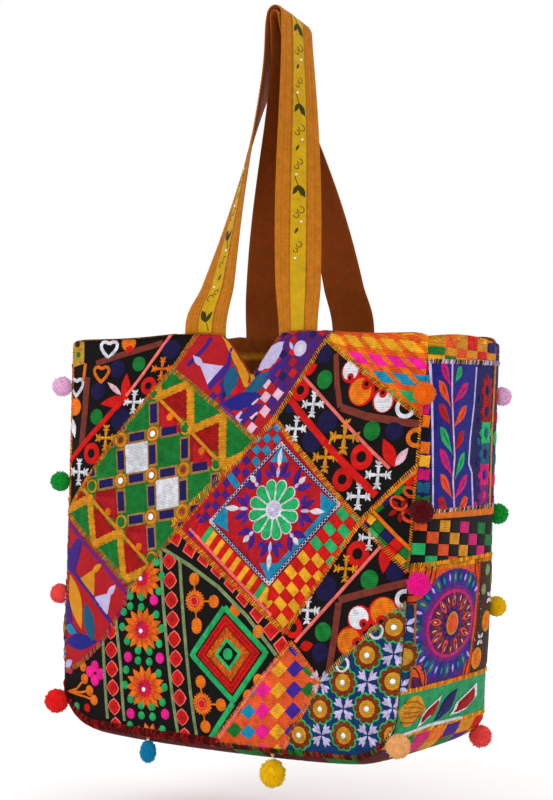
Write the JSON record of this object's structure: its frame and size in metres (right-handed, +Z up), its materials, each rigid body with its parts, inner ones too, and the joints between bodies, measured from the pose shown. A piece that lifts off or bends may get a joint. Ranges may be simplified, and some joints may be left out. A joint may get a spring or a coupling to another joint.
{
  "type": "patchwork shoulder bag",
  "caption": "Soft patchwork tote hanging by two padded straps, with an open lined mouth, deep end gussets and wool pompoms along its seams",
  "frame": {"origin": "the hang point: the underside of the fold where the straps hang, midway across their width", "axes": "+Z up, along which the bag is longest; front panel towards -Y; +X to the right as the front is looked at"},
  "size_m": [0.4409, 0.2133, 0.7526],
  "materials": {
    "patchwork": "embroidered cotton patchwork",
    "lining": "plain cotton",
    "strap": "quilted cotton",
    "ribbon": "printed ribbon",
    "wool_light_pink": "wool pompom",
    "wool_green": "wool pompom",
    "wool_coral": "wool pompom",
    "wool_red": "wool pompom",
    "wool_blue": "wool pompom",
    "wool_yellow": "wool pompom",
    "wool_orange": "wool pompom",
    "wool_maroon": "wool pompom",
    "wool_hot_pink": "wool pompom",
    "wool_peach": "wool pompom",
    "thread": "embroidery thread",
    "shisha": "small sewn-on mirrors",
    "bead": "small beads and sequins"
  },
  "bodies": {
    "root": {"front_panel": "patchwork", "back_panel": "patchwork", "gusset_left": "patchwork", "gusset_right": "patchwork", "base": "patchwork", "lining": "lining", "strap_front": "strap", "strap_front_ribbon": "ribbon", "strap_back": "strap", "strap_back_ribbon": "ribbon", "pompom_front_left_1": "wool_light_pink", "pompom_front_left_2": "wool_green", "pompom_front_left_3": "wool_coral", "pompom_front_left_4": "wool_red", "pompom_front_base_1": "wool_blue", "pompom_front_base_2": "wool_yellow", "pompom_front_right_1": "wool_orange", "pompom_front_right_2": "wool_maroon", "pompom_front_right_3": "wool_hot_pink", "pompom_front_right_4": "wool_peach", "pompom_back_right_1": "wool_light_pink", "pompom_back_right_2": "wool_green", "pompom_back_right_3": "wool_yellow", "pompom_back_right_4": "wool_coral", "pompom_back_base_1": "wool_blue", "pompom_back_base_2": "wool_orange", "pompom_back_left_1": "wool_hot_pink", "pompom_back_left_2": "wool_yellow", "pompom_back_left_3": "wool_green", "pompom_back_left_4": "wool_red"}
  },
  "joints": []
}
